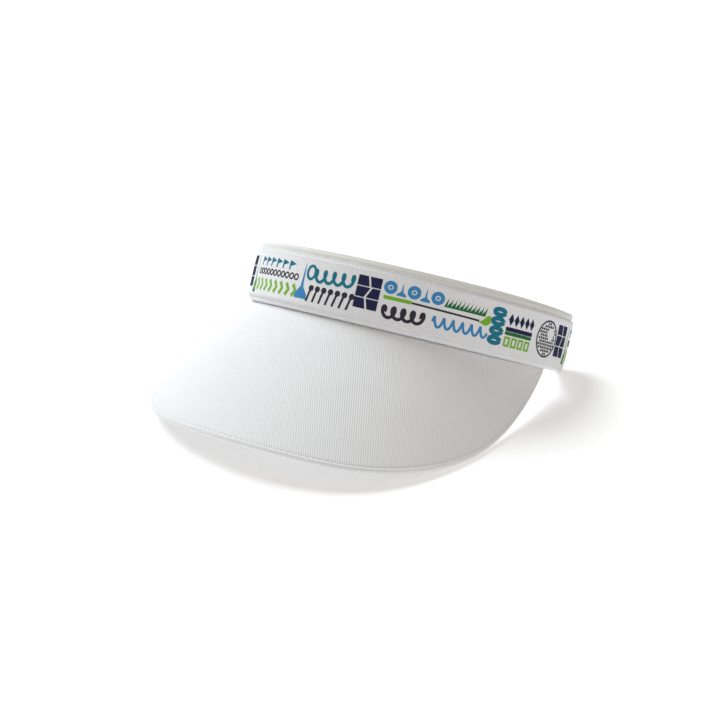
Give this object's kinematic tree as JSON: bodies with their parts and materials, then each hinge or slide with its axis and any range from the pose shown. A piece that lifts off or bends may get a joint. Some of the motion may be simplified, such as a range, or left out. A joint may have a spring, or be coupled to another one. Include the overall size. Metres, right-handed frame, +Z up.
{
  "type": "sun visor",
  "caption": "Clip-on sun visor: a stiff curved bill sewn under a cushioned horseshoe headband that carries a printed ribbon.",
  "frame": {"origin": "centre of the bounding box at the surface the visor rests on", "axes": "+Z up as it rests, -Y towards the front edge of the bill, +X towards the wearer's left temple"},
  "size_m": [0.1606, 0.1753, 0.067],
  "materials": {
    "bill_fabric": "ribbed woven, matt",
    "lining_fabric": "plain woven, matt",
    "foam": "open-cell foam",
    "board": "satin",
    "spring_strip": "satin",
    "facing_fabric": "plain woven, matt",
    "sweatband_fabric": "brushed, soft",
    "ribbon_fabric": "cross-ribbed, slight sheen",
    "thread": "twisted thread",
    "navy_ink": "printed",
    "teal_ink": "printed",
    "blue_ink": "printed",
    "green_ink": "printed",
    "lime_ink": "printed",
    "grey_ink": "printed"
  },
  "bodies": {
    "root": {"bill_board": "board", "bill_foam": "foam", "bill_top_cover": "bill_fabric", "bill_under_cover": "lining_fabric", "bill_edge_roll": "bill_fabric", "bill_edge_stitching": "thread", "bill_seam_strip": "bill_fabric", "bill_seam_stitching": "thread", "headband_spring": "spring_strip", "headband_foam": "foam", "headband_facing": "facing_fabric", "sweatband": "sweatband_fabric", "ribbon": "ribbon_fabric", "ribbon_upper_stitching": "thread", "ribbon_lower_stitching": "thread", "ink_navy": "navy_ink", "ink_teal": "teal_ink", "ink_blue": "blue_ink", "ink_green": "green_ink", "ink_lime": "lime_ink", "ink_grey": "grey_ink", "ink_ball": "grey_ink"}
  },
  "joints": []
}
